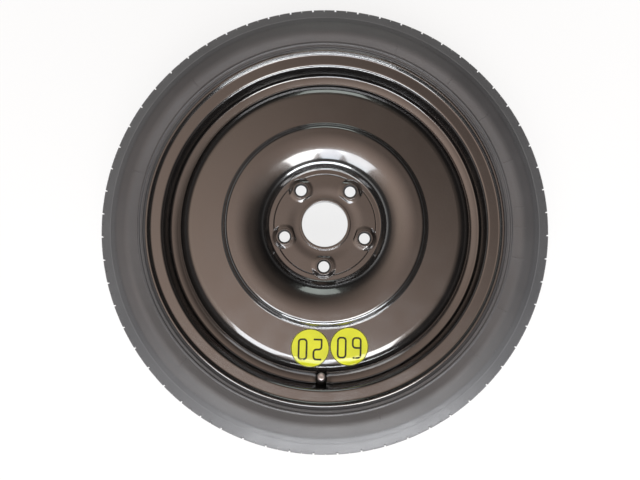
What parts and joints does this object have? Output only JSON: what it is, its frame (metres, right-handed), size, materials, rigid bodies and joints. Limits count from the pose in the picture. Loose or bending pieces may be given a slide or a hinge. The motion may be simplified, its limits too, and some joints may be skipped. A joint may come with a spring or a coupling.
{
  "type": "space saver spare wheel",
  "caption": "Narrow temporary spare wheel: slim tyre on a black pressed steel wheel with a domed disc, bolt bosses, a snap-in valve and round yellow labels.",
  "frame": {"origin": "on the wheel's axis, in the face of the disc that meets the hub", "axes": "+Z along the wheel's axis out of the painted outer face, -Y through the valve, so the wheel lies on its inner side"},
  "size_m": [0.5668, 0.5668, 0.1255],
  "materials": {
    "tyre_rubber": "dull dark grey moulded rubber",
    "black_paint": "glossy black enamel on pressed steel",
    "valve_rubber": "matt black rubber",
    "seal_rubber": "red-brown sealing rubber",
    "brass": "turned brass",
    "spring_steel": "drawn stainless wire",
    "cap_metal": "satin plated cap",
    "label_film": "bright yellow printed film"
  },
  "bodies": {
    "wheel": {"tyre": "tyre_rubber", "rim": "black_paint", "wheel_disc": "black_paint", "disc_welds": "black_paint", "valve_rubber": "valve_rubber", "valve_tube": "brass", "core_body": "brass", "core_seal": "seal_rubber", "core_spring": "spring_steel", "label_left": "label_film", "label_right": "label_film"},
    "cap_washer": {"cap_seal": "valve_rubber"},
    "cap": {"valve_cap": "cap_metal"},
    "pin": {"valve_pin": "brass", "pin_seal": "valve_rubber"}
  },
  "joints": [
    {"name": "cap_lift", "type": "slide", "parent": "wheel", "child": "cap_washer", "axis": [0, 0.284, 0.9588], "range_m": [0, 0.00476]},
    {"name": "cap_turn", "type": "hinge", "parent": "cap_washer", "child": "cap", "pos_m": [0, -0.1928, -0.01583], "axis": [0, 0.284, 0.9588], "range_deg": [0, 2160]},
    {"name": "pin_press", "type": "slide", "parent": "wheel", "child": "pin", "axis": [0, -0.284, -0.9588], "range_m": [0, 0.0012], "stiffness_N_per_m": 800, "springref_m": -0.002, "deforming": ["core_spring"]}
  ],
  "couplings": [
    {"joint": "cap_turn", "follows": "cap_lift", "rad_per_m": 7913.3}
  ]
}
